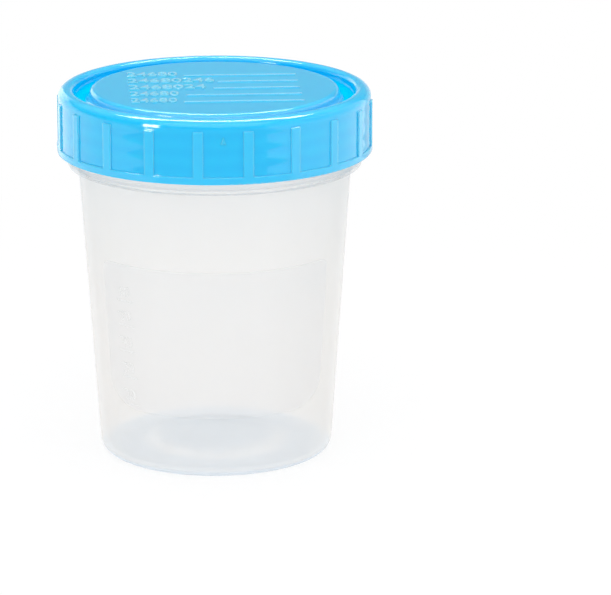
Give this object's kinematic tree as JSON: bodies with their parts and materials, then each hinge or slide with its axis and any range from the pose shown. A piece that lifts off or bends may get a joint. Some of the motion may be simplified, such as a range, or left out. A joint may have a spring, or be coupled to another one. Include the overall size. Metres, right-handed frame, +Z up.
{
  "type": "specimen container",
  "caption": "Small tapered cup with a ribbed screw lid, for collecting, labelling and carrying a liquid specimen.",
  "frame": {"origin": "centre of the cup's foot ring, on the surface it stands on", "axes": "+Z up along the round axis of cup and lid, -Y towards the front, where the writing panel is"},
  "size_m": [0.064, 0.064, 0.0759],
  "materials": {
    "milky_plastic": "milky translucent polypropylene, softly glossy",
    "blue_plastic": "glossy sky-blue polypropylene, slightly translucent"
  },
  "bodies": {
    "cup": {"cup": "milky_plastic"},
    "lid": {"screw_lid": "blue_plastic"}
  },
  "joints": [
    {"name": "lid_lift", "type": "slide", "parent": "cup", "child": "lid", "axis": [0, 0, 1], "range_m": [0, 0.04]}
  ]
}
